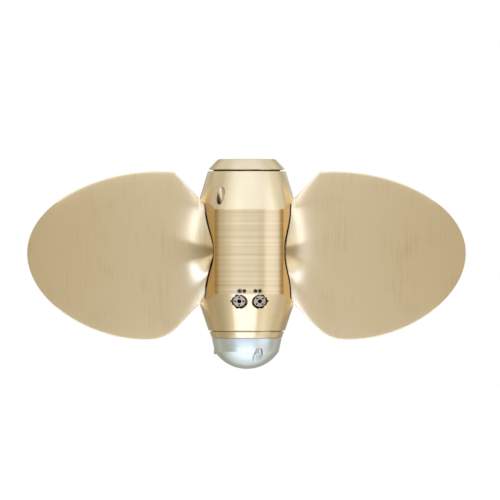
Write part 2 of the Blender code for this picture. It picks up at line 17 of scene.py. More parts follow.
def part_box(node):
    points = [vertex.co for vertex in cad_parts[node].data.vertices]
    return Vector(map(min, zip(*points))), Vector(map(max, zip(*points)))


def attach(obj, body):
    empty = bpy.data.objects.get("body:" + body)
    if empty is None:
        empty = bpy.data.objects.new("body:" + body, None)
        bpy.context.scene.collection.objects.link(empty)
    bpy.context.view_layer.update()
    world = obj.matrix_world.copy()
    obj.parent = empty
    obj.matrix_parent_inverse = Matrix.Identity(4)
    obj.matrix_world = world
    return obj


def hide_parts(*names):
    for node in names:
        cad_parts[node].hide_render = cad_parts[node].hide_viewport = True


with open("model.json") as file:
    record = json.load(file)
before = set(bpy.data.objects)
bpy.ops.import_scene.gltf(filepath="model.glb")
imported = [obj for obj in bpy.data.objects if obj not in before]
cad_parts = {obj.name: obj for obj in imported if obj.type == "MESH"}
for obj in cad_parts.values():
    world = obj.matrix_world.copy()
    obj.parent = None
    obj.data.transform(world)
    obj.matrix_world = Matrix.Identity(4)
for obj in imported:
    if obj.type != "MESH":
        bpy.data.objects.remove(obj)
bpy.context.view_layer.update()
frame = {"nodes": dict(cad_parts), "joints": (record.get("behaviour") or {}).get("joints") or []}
MM = 0.001

# %% [markdown]
# ## Sizes that the frame gives
# Every new piece has to sit where its solid is, so its main sizes are read from the frame: the heights along
# the shaft, the largest radii, the blades' reach, and the axes of the spindle and of the two pitch dials. The
# shaft axis is Z, the blades lie along X, and the dials face -Y.

# %% Read the levels, radii and axes
joints = {joint["name"]: joint for joint in frame["joints"]}
SIDES = {"left": -1, "right": 1}
GAP = 0.3 * MM  # clearance between two pieces

boss_low, boss_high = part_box("shaft_boss")
housing_low, housing_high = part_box("hub_housing")
ring_low, ring_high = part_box("aft_ring")
anode_low, anode_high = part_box("anode")

FORWARD_FACE = boss_high.z
FORWARD_RING_R = boss_high.x
BOSS_END = boss_low.z
HOUSING_TOP = housing_high.z
HOUSING_END = housing_low.z
BAND_R = -housing_low.y
SPINDLE_Z = joints["housing_turn"]["pos_m"][2]
AFT_RING_END = ring_low.z
AFT_RING_R = ring_high.x
ANODE_TOP = anode_high.z
ANODE_R = anode_high.x
ANODE_TIP = anode_low.z
BLADE_TIP_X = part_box("blade_right")[1].x
print(f"hub {2 * BAND_R / MM:.1f} mm across, blades reach {BLADE_TIP_X / MM:.1f} mm")

# %% [markdown]
# ## Colours and node helpers
# Colours are written as hex values, as a colour picker shows them. Shaders work in linear light, so one
# function turns them. Another adds a node to a material, sets its values and links its inputs, because a
# material is easier to read as a list of nodes than as pages of assignments. What comes up in most of the
# materials has a function of its own.


# %% Colour and node helpers
def to_linear(hex_colour):
    """An sRGB hex colour as the linear RGBA that a shader reads."""
    channels = [int(hex_colour[start:start + 2], 16) / 255 for start in (1, 3, 5)]
    return (*[c / 12.92 if c <= 0.04045 else ((c + 0.055) / 1.055) ** 2.4 for c in channels], 1.0)


def add_node(tree, kind, settings=None, links=None):
    """Add a node. A setting is an input's value, a property, or the stops of a colour ramp."""
    node = tree.nodes.new(kind)
    for key, value in (settings or {}).items():
        if key == "stops":
            ramp = node.color_ramp.elements
            while len(ramp) < len(value):
                ramp.new(0.5)
            for stop, (position, colour) in zip(ramp, value):
                stop.position = position
                stop.color = colour
        elif isinstance(key, int) or key in node.inputs:
            node.inputs[key].default_value = value
        else:
            setattr(node, key, value)
    for key, output in (links or {}).items():
        tree.links.new(output, node.inputs[key])
    return node


def new_material(name, hex_colour, roughness, metallic=1.0):
    """A material with its Principled shader's main values set."""
    material = bpy.data.materials.new(name)
    material.use_nodes = True
    shader = material.node_tree.nodes["Principled BSDF"]
    shader.inputs["Base Color"].default_value = to_linear(hex_colour)
    shader.inputs["Roughness"].default_value = roughness
    shader.inputs["Metallic"].default_value = metallic
    return material, material.node_tree, shader


def object_axes(tree):
    """An object's own coordinates, as one vector and split into X, Y and Z."""
    place = add_node(tree, "ShaderNodeTexCoord").outputs["Object"]
    return place, add_node(tree, "ShaderNodeSeparateXYZ", links={0: place}).outputs


def add_math(tree, operation, *values):
    """A maths node's result. Each value is a number or another node's output."""
    numbers = {key: value for key, value in enumerate(values) if isinstance(value, (int, float))}
    links = {key: value for key, value in enumerate(values) if key not in numbers}
    return add_node(tree, "ShaderNodeMath", {"operation": operation, **numbers}, links).outputs[0]


def add_mix(tree, share, colour, hex_colour, blend="MIX"):
    """A colour mixed with a fixed one, which has this share."""
    settings = {"data_type": "RGBA", "blend_type": blend, 7: to_linear(hex_colour)}
    return add_node(tree, "ShaderNodeMix", settings, {0: share, 6: colour}).outputs[2]


def add_noise(tree, size, source, detail=2.0, roughness=0.5, dimensions="3D"):
    """Noise whose grains are about this large. In one dimension it gives rings."""
    settings = {"noise_dimensions": dimensions, "Scale": 1 / size, "Detail": detail, "Roughness": roughness}
    socket = "W" if dimensions == "1D" else "Vector"
    return add_node(tree, "ShaderNodeTexNoise", settings, {socket: source}).outputs[0]


def add_tint(tree, hex_colours, source):
    """A colour ramp, given as the hex colour at each position."""
    stops = [(position, to_linear(hex_colour)) for position, hex_colour in hex_colours.items()]
    return add_node(tree, "ShaderNodeValToRGB", {"stops": stops}, {0: source}).outputs[0]


def finish_metal(tree, shader, colour, relief, roughness, depth):
    """Link a metal's colour, and let its relief vary the roughness and tilt the surface."""
    gloss = add_node(tree, "ShaderNodeMapRange", {3: roughness[0], 4: roughness[1]}, {0: relief})
    bump = add_node(tree, "ShaderNodeBump", {"Strength": 1.0, "Distance": depth}, {"Height": relief})
    tree.links.new(colour, shader.inputs["Base Color"])
    tree.links.new(gloss.outputs[0], shader.inputs["Roughness"])
    tree.links.new(bump.outputs[0], shader.inputs["Normal"])


print("bronze in linear light:", [round(c, 3) for c in to_linear("#F5E1B8")])

# %% [markdown]
# ## Turned and polished bronze
# The hub is nickel-aluminium bronze, turned on a lathe and then polished. The eye gets two things from that:
# a warm, pale mirror, and fine rings round the axis that the tool has left. The rings are a one-dimensional
# noise along Z, plain to see on the straight band and faint on the polished cones. The real feed marks are
# about 0.2 mm apart, too fine to show, so they are drawn 3 mm apart. Beside the flats the band is painted a
# deeper brown: a painted reflection of the blades, which the band's sides would mirror there.

# %% Turned bronze
TOOL_MARK = 3.0 * MM
TOOL_MARK_DEPTH = 0.012 * MM
CLOUD = 14 * MM
CLOUD_STRENGTH = 0.2
TURNED_ANISOTROPY = 0.9
TURNED_ROTATION = 0.25  # of a full turn
BAND_TOP = -43.6 * MM
BAND_END = -117.0 * MM
CONE_MARKS = 0.2  # strength of the rings on the cones, as a share of the band's
PAINTED_REFLECTION_START = 25 * MM
PAINTED_REFLECTION_END = 29 * MM
PAINTED_REFLECTION_ELSEWHERE = 0.14


def make_turned_bronze(name, hex_light, hex_deep, roughness):
    """Polished bronze with rings round Z, and a painted reflection: a deeper tone beside the band's flats."""
    material, tree, shader = new_material(name, hex_light, roughness)
    shader.inputs["Anisotropic"].default_value = TURNED_ANISOTROPY
    shader.inputs["Anisotropic Rotation"].default_value = TURNED_ROTATION
    place, axes = object_axes(tree)
    marks = add_noise(tree, TOOL_MARK, axes["Z"], 3.0, 0.6, "1D")
    clouds = add_noise(tree, CLOUD, place)
    on_band = add_math(tree, "COMPARE", axes["Z"], (BAND_TOP + BAND_END) / 2, (BAND_TOP - BAND_END) / 2)
    share = add_node(tree, "ShaderNodeMapRange", {3: CONE_MARKS}, {0: on_band}).outputs[0]
    relief = add_node(tree, "ShaderNodeMix", {"data_type": "FLOAT", 2: 0.5}, {0: share, 3: marks}).outputs[0]
    both = add_math(tree, "MULTIPLY_ADD", clouds, CLOUD_STRENGTH, relief)
    tint = add_tint(tree, {0.4: hex_deep, 0.8: hex_light}, both)
    # Painted reflection: the band beside the flats is painted deeper brown, as if it mirrored the blades.
    aside = add_math(tree, "ABSOLUTE", axes["X"])
    reflection_beside_flats = add_node(
        tree, "ShaderNodeMapRange",
        {"interpolation_type": "SMOOTHSTEP", 1: PAINTED_REFLECTION_START, 2: PAINTED_REFLECTION_END, 3: PAINTED_REFLECTION_ELSEWHERE},
        {0: aside},
    )
    painted_reflection = add_math(tree, "MULTIPLY", reflection_beside_flats.outputs[0], on_band)
    colour = add_mix(tree, painted_reflection, tint, "#E2C592", "MULTIPLY")
    finish_metal(tree, shader, colour, relief, (roughness * 0.8, roughness * 1.25), TOOL_MARK_DEPTH)
    return material


turned_bronze = make_turned_bronze("turned_nickel_aluminium_bronze", "#F5E1B8", "#E6D0A4", 0.30)
print("made", turned_bronze.name)

# %% [markdown]
# ## Brushed bronze
# The blades are the same alloy, ground with a belt that ran up and down along the shaft's direction. Long
# thin scratches blur a reflection across them and leave it sharp along them, so the shader's anisotropy does
# most of the work. It follows the blade's own UV map, whose U runs along the blade. The scratches are noise
# squeezed across the blade: 0.9 mm apart here, because the real 0.1 mm ones are finer than a pixel. Painted
# shade darkens the metal a little towards the tips. A mesh attribute darkens it too: grease and painted
# shade beside the hub, and painted shade along the crest.

# %% Brushed bronze
SCRATCH_WIDTH = 0.9 * MM
SCRATCH_LENGTH = 45 * MM
SCRATCH_DEPTH = 0.0012 * MM
SCRATCH_STRENGTH = 1.2
BRUSHED_ANISOTROPY = 0.6
BRUSHED_ROUGHNESS = (0.29, 0.34)
BLADE_CLOUD = 30 * MM
TIP_SHADE_START = 90 * MM
TIP_SHADE_END = 190 * MM


def make_brushed_bronze():
    """Bronze with fine scratches across it, painted shade at the tips, and the mesh's grease and painted
    shade.
    """
    material, tree, shader = new_material("brushed_nickel_aluminium_bronze", "#D6BD92", BRUSHED_ROUGHNESS[1])
    shader.inputs["Anisotropic"].default_value = BRUSHED_ANISOTROPY
    tangent = add_node(tree, "ShaderNodeTangent", {"direction_type": "UV_MAP"})
    tree.links.new(tangent.outputs[0], shader.inputs["Tangent"])
    place, axes = object_axes(tree)
    stretched = add_node(
        tree, "ShaderNodeMapping",
        {"Scale": (1 / SCRATCH_WIDTH, 1 / SCRATCH_LENGTH, 1 / SCRATCH_LENGTH)}, {"Vector": place},
    )
    scratches = add_noise(tree, 1, stretched.outputs[0])
    both = add_math(tree, "MULTIPLY_ADD", scratches, SCRATCH_STRENGTH, add_noise(tree, BLADE_CLOUD, place))
    tint = add_tint(tree, {0.5: "#D4BC90", 1.0: "#E6D1A8"}, both)
    # Painted shade: the blade is painted a little darker towards its tips.
    reach = add_math(tree, "ABSOLUTE", axes["X"])
    tip_shade = add_node(tree, "ShaderNodeMapRange", {1: TIP_SHADE_START, 2: TIP_SHADE_END}, {0: reach})
    tip_shaded = add_mix(tree, tip_shade.outputs[0], tint, "#EFEBE0", "MULTIPLY")
    # The mesh's attribute darkens the metal: grease and painted shade beside the hub, painted shade on the
    # crest.
    grease_and_shade_attribute = add_node(tree, "ShaderNodeAttribute", {"attribute_name": "grease"})
    stained_and_shaded = add_mix(tree, grease_and_shade_attribute.outputs["Fac"], tip_shaded, "#2A190A")
    finish_metal(tree, shader, stained_and_shaded, scratches, BRUSHED_ROUGHNESS, SCRATCH_DEPTH)
    return material


brushed_bronze = make_brushed_bronze()
print("made", brushed_bronze.name)

# %% [markdown]
# ## Zinc, steel, other bronze, and rubber
# The anode is cast zinc, turned to shape: a colder, slightly green grey metal with faint rings. The screws
# are machined stainless steel, bright and nearly colourless, and the dials are the same steel gone dull. The
# flats beside the blades' seats are milled bronze, deeper in colour than the polished band. Bronze that old
# grease has coloured is brown, the grease itself nearly black, and both also serve as painted shade in holes,
# sockets and gaps. The two seals are nitrile rubber wet with grease, which is why the ring grooves look brown
# in the shade.

# %% The other materials
FAINT_RING_DEPTH = 0.003 * MM
SMEAR = 4 * MM
RUBBER_SPECULAR = 0.2
GREASE_AND_SHADE_SPECULAR = 0.05


def make_speckled_metal(name, hex_light, hex_deep, roughness, grain, ring_spacing):
    """A metal whose tint varies from grain to grain, with faint rings where it was turned."""
    material, tree, shader = new_material(name, hex_light, roughness)
    place, axes = object_axes(tree)
    grains = add_noise(tree, grain, place, 3.0)
    rings = add_noise(tree, ring_spacing, axes["Z"], dimensions="1D")
    tint = add_tint(tree, {0.3: hex_deep, 0.7: hex_light}, grains)
    finish_metal(tree, shader, tint, rings, (roughness * 0.8, roughness * 1.3), FAINT_RING_DEPTH)
    return material


def make_greased_rubber():
    """Rubber under a smeared film of brown grease."""
    material, tree, shader = new_material("greased_nitrile_rubber", "#4E3C22", 0.6, metallic=0.0)
    shader.inputs["Specular IOR Level"].default_value = RUBBER_SPECULAR
    smears = add_noise(tree, SMEAR, object_axes(tree)[0])
    tint = add_tint(tree, {0.35: "#3E2E19", 0.7: "#6E5735"}, smears)
    tree.links.new(tint, shader.inputs["Base Color"])
    return material


milled_bronze = make_speckled_metal("milled_bronze", "#F6D69C", "#EFCB90", 0.30, 6 * MM, 1.5 * MM)
# Greasy bronze is also painted shade: brown in pockets, drillings, stop pins and plugs.
greasy_shaded_bronze = make_speckled_metal("greasy_shaded_bronze", "#866538", "#644A28", 0.36, 2 * MM, 1.5 * MM)
turned_zinc = make_speckled_metal("turned_zinc", "#E7EEEB", "#DFE7E4", 0.29, 3 * MM, 1.2 * MM)
stainless = make_speckled_metal("machined_stainless_steel", "#E4E4E0", "#CFCFCB", 0.18, 1 * MM, 0.8 * MM)
dull_steel = make_speckled_metal("dull_stainless_steel", "#AA9A80", "#93846B", 0.34, 1 * MM, 0.8 * MM)
rubber = make_greased_rubber()
# The near-black grease is also painted shade: in sockets, holes, scallops, dots and the seats' rims.
grease, _, grease_and_shade_shader = new_material("brown_grease_and_shade", "#24140A", 0.8, metallic=0.0)
grease_and_shade_shader.inputs["Specular IOR Level"].default_value = GREASE_AND_SHADE_SPECULAR
for node, material in {
    "forward_seal": rubber,
    "aft_seal": rubber,
    "tab_washer": stainless,
    "shaft_nut": stainless,
}.items():
    frame["nodes"][node].data.materials.clear()
    frame["nodes"][node].data.materials.append(material)
print("made", turned_zinc.name, stainless.name, rubber.name)

# %% [markdown]
# ## Turning, carving and placing
# Most pieces are turned, so one helper draws an outline on the X-Z plane, rounds its corners with a vertex
# bevel and spins it about Z. Each corner carries its own rounding, as a drawing would give it. A second
# helper takes other shapes out with Boolean modifiers, and a third makes the finished piece, hides the
# solid that it stands for and hangs it on the body that it moves with. A cut leaves the cutter's own material
# on the faces that it makes, so a cutter's faces are painted with the number of their material: the finish
# that its tool leaves, or grease and painted shade.

# %% Modelling helpers
ROUND = 240  # steps of a large turned piece
SMALL_ROUND = 48
TINY_ROUND = 20
MERGE = 0.0005 * MM
OWN, GREASED_AND_SHADED, MILLED, GREASY_AND_SHADED = range(4)  # a piece's materials: its own, then those of its cut faces


def turned(outline, steps=ROUND, closed=True):
    """Spin an outline of (radius, height, corner rounding). An open one starts and ends on the axis."""
    bm = bmesh.new()
    corners = [bm.verts.new((radius, 0, height)) for radius, height, rounding in outline]
    pairs = list(zip(corners, corners[1:])) + ([(corners[-1], corners[0])] if closed else [])
    for pair in pairs:
        bm.edges.new(pair)
    for corner, (radius, height, rounding) in zip(corners, outline):
        if rounding:
            bmesh.ops.bevel(
                bm, geom=[corner], offset=rounding, affect="VERTICES", segments=4, profile=0.5, material=-1,
            )
    bmesh.ops.spin(
        bm, geom=bm.verts[:] + bm.edges[:], cent=(0, 0, 0), axis=(0, 0, 1),
        angle=math.tau, steps=steps, use_merge=True,
    )
    bmesh.ops.remove_doubles(bm, verts=bm.verts, dist=MERGE)
    bmesh.ops.recalc_face_normals(bm, faces=bm.faces)
    return bm


def rod(radius, low, high, steps=SMALL_ROUND, rounding=0.0):
    """A plain round bar on Z, with its rims rounded."""
    outline = [(0, high, 0), (radius, high, rounding), (radius, low, rounding), (0, low, 0)]
    return turned(outline, steps, closed=False)


def hexagon(across_flats, low, high):
    """A hexagonal bar on Z, for sockets."""
    return rod(across_flats / math.sqrt(3), low, high, steps=6)


def block(low, high):
    bm = bmesh.new()
    size = Vector(high) - Vector(low)
    middle = (Vector(high) + Vector(low)) / 2
    bmesh.ops.create_cube(bm, size=1, matrix=Matrix.Translation(middle) @ Matrix.Diagonal((*size, 1)))
    return bm


def placed(bm, place):
    bmesh.ops.transform(bm, matrix=place, verts=bm.verts)
    return bm


def facing(position, direction, up=(0, 0, 1)):
    """A place whose local Z points along direction, with local Y as near to up as it can be."""
    z = Vector(direction).normalized()
    x = Vector(up).cross(z).normalized()
    turn = Matrix((x, z.cross(x), z)).transposed().to_4x4()
    return Matrix.Translation(position) @ turn


def painted(bm, finish):
    """Give all of a shape's faces one of the piece's materials."""
    for face in bm.faces:
        face.material_index = finish
    return bm


def loose_object(name, bm):
    """An object with this shape that no body carries yet."""
    mesh = bpy.data.meshes.new(name)
    bm.to_mesh(mesh)
    bm.free()
    item = bpy.data.objects.new(name, mesh)
    bpy.context.scene.collection.objects.link(item)
    return item


def carved(bm, cutters):
    """A shape with every cutter's shape taken out of it."""
    target = loose_object("target", bm)
    tools = [loose_object(f"tool_{number}", cutter) for number, cutter in enumerate(cutters)]
    for tool in tools:
        difference = target.modifiers.new(tool.name, "BOOLEAN")
        difference.operation = "DIFFERENCE"
        difference.object = tool
    result = bmesh.new()
    result.from_mesh(target.evaluated_get(bpy.context.evaluated_depsgraph_get()).to_mesh())
    for item in [target, *tools]:
        bpy.data.meshes.remove(item.data)
    bmesh.ops.remove_doubles(result, verts=result.verts, dist=MERGE)
    bmesh.ops.dissolve_degenerate(result, edges=result.edges, dist=MERGE)
    return result


def finished(name, bm, material, body, node, sharp_angle=30):
    """Make the piece that stands for a solid and moves with its body."""
    item = loose_object(name, bm)
    item.data.shade_smooth()
    item.data.set_sharp_from_angle(angle=math.radians(sharp_angle))
    item.data.materials.append(material)
    item.data.materials.append(grease)
    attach(item, body)
    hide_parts(node)
    return item


print("helpers ready, large pieces have", ROUND, "steps")

# %% [markdown]
# ## The boss
# The boss is what sits on the shaft. From outside only its conical forward ring shows, and from above the
# tapered bore with its keyway, and the nut far down inside. It is one outline, spun, with the keyway carved
# out by a block that leans with the taper. A narrow lip hangs from the ring into the groove below it and
# keeps dirt off the seal; the barrel's lower end has the same one.

# %% Make the boss
FORWARD_FACE_R = 24.8 * MM
FORWARD_RING_END = -8.8 * MM
SEAL_LIP_R = 30.2 * MM
SEAL_REBATE = 1.6 * MM
DUST_LIP_R = SEAL_LIP_R + 1.0 * MM
DUST_LIP_HEIGHT = 0.6 * MM
SPIGOT_R = 26.0 * MM
SPIGOT_DEPTH = 4.0 * MM
BOSS_R = 18.0 * MM
NUT_WELL_R = 14.2 * MM
TAPER_R = 12.5 * MM
TAPER_LENGTH = 70 * MM
TAPER_SLOPE = 0.05
KEYWAY_WIDTH = 8 * MM
KEYWAY_DEPTH = 3.3 * MM
KEYWAY_END = -77 * MM
KEYWAY_START = 2 * MM
FORWARD_EDGE = 1.2 * MM
EDGE = 0.5 * MM
FINE_EDGE = 0.2 * MM

rebate = FORWARD_RING_END + SEAL_REBATE
spigot_end = HOUSING_TOP - SPIGOT_DEPTH
boss = turned([
    (FORWARD_FACE_R, FORWARD_FACE, FORWARD_EDGE),
    (FORWARD_RING_R, FORWARD_RING_END, FINE_EDGE),
    (DUST_LIP_R, FORWARD_RING_END, 0),
    (DUST_LIP_R, FORWARD_RING_END - DUST_LIP_HEIGHT, FINE_EDGE / 2),
    (SEAL_LIP_R, FORWARD_RING_END - DUST_LIP_HEIGHT, FINE_EDGE / 2),
    (SEAL_LIP_R, rebate, 0),
    (SPIGOT_R, rebate, 0),
    (SPIGOT_R, spigot_end, FINE_EDGE),
    (BOSS_R, spigot_end, 0),
    (BOSS_R, BOSS_END, EDGE),
    (NUT_WELL_R, BOSS_END, EDGE),
    (NUT_WELL_R, -TAPER_LENGTH, 0),
    (TAPER_R - TAPER_LENGTH * TAPER_SLOPE, -TAPER_LENGTH, FINE_EDGE),
    (TAPER_R, FORWARD_FACE, EDGE),
])
keyway = block(
    (-KEYWAY_WIDTH / 2, 0, KEYWAY_END),
    (KEYWAY_WIDTH / 2, TAPER_R + KEYWAY_DEPTH, KEYWAY_START),
)
lean = Matrix.Rotation(math.atan(TAPER_SLOPE), 4, "X")
boss = finished(
    "boss_with_taper", carved(boss, [placed(keyway, lean)]), turned_bronze,
    "shaft_group", "shaft_boss",
)
print("boss:", len(boss.data.polygons), "faces")

# %% [markdown]
# ## The aft ring and the zinc anode
# A narrow bronze ring closes the hub's after end, and the anode continues its taper. Zinc dissolves in sea
# water before bronze does, so the anode is a part to be replaced: three socket-head screws hold it, each down
# a counterbore that runs parallel with the shaft and so breaks out through the sloping side.

# %% Make the ring, the anode and its screws
AFT_RING_TOP = -149.6 * MM
ANODE_EDGE = -166.9 * MM
ANODE_EDGE_R = 27.8 * MM
SCREW_ANGLES = {"1": 19, "2": 139, "3": 259}
SCREW_CIRCLE_R = 24.5 * MM
SCREW_HOLE_R = 2.8 * MM
SCREW_SHANK_R = 2.5 * MM
SCREW_HEAD_R = 4.25 * MM
SCREW_KEY = 4.0 * MM
SCREW_KEY_DEPTH = 2.5 * MM
COUNTERBORE_R = 4.6 * MM
COUNTERBORE_TOP = -164.0 * MM
DOME_STEPS = 28


def screw_place(degrees):
    """A screw's axis on the anode. 0 degrees is the front."""
    angle = math.radians(degrees)
    return Matrix.Translation((SCREW_CIRCLE_R * math.sin(angle), -SCREW_CIRCLE_R * math.cos(angle), 0))


ring_rebate = AFT_RING_TOP - SEAL_REBATE
ring = turned([
    (SEAL_LIP_R, AFT_RING_TOP, FINE_EDGE),
    (AFT_RING_R, AFT_RING_TOP, EDGE),
    (ANODE_R, AFT_RING_END, FINE_EDGE),
    (BOSS_R + GAP, AFT_RING_END, 0),
    (BOSS_R + GAP, ring_high.z, 0),
    (SPIGOT_R, ring_high.z, 0),
    (SPIGOT_R, ring_rebate, 0),
    (SEAL_LIP_R, ring_rebate, 0),
])
finished("aft_end_ring", ring, turned_bronze, "shaft_group", "aft_ring")

sagitta = ANODE_EDGE - ANODE_TIP
dome_r = (ANODE_EDGE_R**2 + sagitta**2) / (2 * sagitta)
dome_start = math.asin(ANODE_EDGE_R / dome_r)
outline = [(0, ANODE_TOP, 0), (ANODE_R, ANODE_TOP, FINE_EDGE)]
for step in range(DOME_STEPS + 1):
    angle = dome_start * (1 - step / DOME_STEPS)
    outline.append((dome_r * math.sin(angle), ANODE_TIP + dome_r * (1 - math.cos(angle)), 0))
nose = turned(outline, closed=False)
bores = []
for degrees in SCREW_ANGLES.values():
    bore = [
        (0, ANODE_TOP + MM, 0),
        (SCREW_HOLE_R, ANODE_TOP + MM, 0),
        (SCREW_HOLE_R, COUNTERBORE_TOP, 0),
        (COUNTERBORE_R, COUNTERBORE_TOP, EDGE),
        (COUNTERBORE_R, ANODE_TIP, 0),
        (0, ANODE_TIP, 0),
    ]
    bore = turned(bore, SMALL_ROUND, closed=False)
    for face in bore.faces:
        # The screw's hole and the counterbore's top get the near-black grease: painted shade over the screw
        # head.
        face.material_index = GREASED_AND_SHADED if face.calc_center_median().z > COUNTERBORE_TOP - EDGE else OWN
    bores.append(placed(bore, screw_place(degrees)))
anode = finished(
    "zinc_nose", carved(nose, bores), turned_zinc, "shaft_group", "anode", sharp_angle=20,
)

for number, degrees in SCREW_ANGLES.items():
    low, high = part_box(f"anode_screw_{number}")
    head_top = COUNTERBORE_TOP - GAP
    screw = [
        (0, high.z, 0),
        (SCREW_SHANK_R, high.z, FINE_EDGE),
        (SCREW_SHANK_R, head_top, 0),
        (SCREW_HEAD_R, head_top, FINE_EDGE),
        (SCREW_HEAD_R, low.z, EDGE),
        (0, low.z, 0),
    ]
    screw = turned(screw, SMALL_ROUND, closed=False)
    # The socket gets the near-black grease: painted shade inside the hexagon.
    socket = painted(hexagon(SCREW_KEY, low.z - MM, low.z + SCREW_KEY_DEPTH), GREASED_AND_SHADED)
    finished(
        f"nose_screw_{number}", placed(carved(screw, [socket]), screw_place(degrees)), stainless,
        "shaft_group", f"anode_screw_{number}",
    )
print("anode:", len(anode.data.polygons), "faces, dome radius", round(dome_r / MM, 1), "mm")

# %% [markdown]
# ## The hub barrel
# The barrel is a straight band between two cones. Out of it come the two round seats for the blade roots,
# four upright flats beside them, the pockets of the pitch dials, the holes of the small screws above them,
# and two oblique drillings. Real machining does it in that order too: turn first, then mill and drill, so the
# same shapes are carved out of a spun barrel here. A seat is greasy inside, and its rim is painted near-black
# for grease and for painted shade in the gap round the blade.

# %% Barrel outline, seats and flats
HOUSING_TOP_R = 33.8 * MM
HOUSING_END_R = 33.2 * MM
FLAT_DISTANCE = 42.0 * MM
FLAT_ANGLE = math.radians(59)
FLAT_HALF_WIDTH = 25 * MM
ROOT_BORE_R = 31.2 * MM
ROOT_BORE_FLOOR = 20.0 * MM
SEAT_FILLET_START = 31.5 * MM
SEAT_FLAT_R = 41.7 * MM
SEAT_FLAT_X = 36.0 * MM
SEAT_WALL_R = 45.6 * MM
SEAT_WALL_X = 36.4 * MM
SEAT_MOUTH_X = 50.0 * MM
SEAT_FILLET_STEPS = 14
RIM_GREASE_AND_SHADE = 1.5 * MM


def cone_radius(height):
    """Radius of the barrel's outside at a height."""
    if height > BAND_TOP:
        return BAND_R + (HOUSING_TOP_R - BAND_R) * (height - BAND_TOP) / (HOUSING_TOP - BAND_TOP)
    if height < BAND_END:
        return BAND_R + (HOUSING_END_R - BAND_R) * (height - BAND_END) / (HOUSING_END - BAND_END)
    return BAND_R


def housing_depth(x, z):
    """How far the barrel's outside lies from the plane of the blades, z above the spindle."""
    round_side = math.sqrt(max(0, cone_radius(SPINDLE_Z + z)**2 - x * x))
    flat = (FLAT_DISTANCE - x * math.sin(FLAT_ANGLE)) / math.cos(FLAT_ANGLE)
    return max(0, min(round_side, flat))


def seat_fillet(steps):
    """The rounded lip from the root bore out to the seat's flat, as (radius, reach)."""
    width = SEAT_FLAT_R - ROOT_BORE_R
    height = SEAT_FLAT_X - SEAT_FILLET_START
    angles = [math.pi / 2 * step / steps for step in range(steps)]
    return [
        (ROOT_BORE_R + width * (1 - math.cos(angle)), SEAT_FILLET_START + height * math.sin(angle))
        for angle in angles
    ]


seat_profile = [
    (ROOT_BORE_FLOOR, ROOT_BORE_R),
    *[(reach, radius) for radius, reach in seat_fillet(SEAT_FILLET_STEPS)],
    (SEAT_FLAT_X, SEAT_FLAT_R),
    (SEAT_WALL_X, SEAT_WALL_R),
    (SEAT_MOUTH_X, SEAT_WALL_R),
]


def height_at(curve, x):
    """Height of a curve, given as points in order of x, where it passes x."""
    for low, high in zip(curve, curve[1:]):
        if low[0] <= x <= high[0] and high[0] > low[0]:
            return low[1] + (high[1] - low[1]) * (x - low[0]) / (high[0] - low[0])
    return curve[-1][1]


def blade_place(sign):
    """The spindle's place: local Z runs outwards along the blade, local Y from aft to forward."""
    return facing((0, 0, SPINDLE_Z), (sign, 0, 0))


def make_seat_tool(sign):
    """What is cut away for a blade's root: bore, rounded lip, flat and outer wall."""
    lip = [(radius, reach, 0) for radius, reach in reversed(seat_fillet(SEAT_FILLET_STEPS))]
    outline = [
        (0, SEAT_MOUTH_X, 0),
        (SEAT_WALL_R, SEAT_MOUTH_X, 0),
        (SEAT_WALL_R, SEAT_WALL_X, EDGE),
        (SEAT_FLAT_R, SEAT_FLAT_X, 0),
        *lip,
        (ROOT_BORE_R, ROOT_BORE_FLOOR, 0),
        (0, ROOT_BORE_FLOOR, 0),
    ]
    seat = turned(outline, closed=False)
    for face in seat.faces:
        middle = face.calc_center_median()
        # The rim is painted near-black: grease, and painted shade in the gap round the blade's root.
        at_rim = abs(middle.x) > housing_depth(middle.z, middle.y) - RIM_GREASE_AND_SHADE
        if middle.z < SEAT_FLAT_X:
            face.material_index = GREASED_AND_SHADED if at_rim else GREASY_AND_SHADED
    return placed(seat, blade_place(sign))


def make_flat_tool(turn):
    """What is milled away beside a seat, at this angle round the shaft."""
    low = (-FLAT_HALF_WIDTH, -2 * BAND_R, HOUSING_END)
    high = (FLAT_HALF_WIDTH, -FLAT_DISTANCE, HOUSING_TOP)
    return placed(painted(block(low, high), MILLED), Matrix.Rotation(turn, 4, "Z"))


barrel = turned([
    (HOUSING_TOP_R, HOUSING_TOP, EDGE),
    (BAND_R, BAND_TOP, EDGE),
    (BAND_R, BAND_END, EDGE),
    (HOUSING_END_R, HOUSING_END, EDGE),
    (DUST_LIP_R, HOUSING_END, 0),
    (DUST_LIP_R, HOUSING_END - DUST_LIP_HEIGHT, FINE_EDGE / 2),
    (SEAL_LIP_R, HOUSING_END - DUST_LIP_HEIGHT, FINE_EDGE / 2),
    (SEAL_LIP_R, HOUSING_END, 0),
    (SPIGOT_R + GAP, HOUSING_END, FINE_EDGE),
    (SPIGOT_R + GAP, HOUSING_END + SPIGOT_DEPTH, 0),
    (BOSS_R + GAP, HOUSING_END + SPIGOT_DEPTH, 0),
    (BOSS_R + GAP, HOUSING_TOP - SPIGOT_DEPTH - GAP, 0),
    (SPIGOT_R + GAP, HOUSING_TOP - SPIGOT_DEPTH - GAP, 0),
    (SPIGOT_R + GAP, HOUSING_TOP, FINE_EDGE),
])
barrel_tools = []
for sign in SIDES.values():
    barrel_tools.append(make_seat_tool(sign))
    barrel_tools.append(make_flat_tool(sign * FLAT_ANGLE))
    barrel_tools.append(make_flat_tool(math.pi - sign * FLAT_ANGLE))
print("barrel outline spun,", len(barrel_tools), "tools so far")

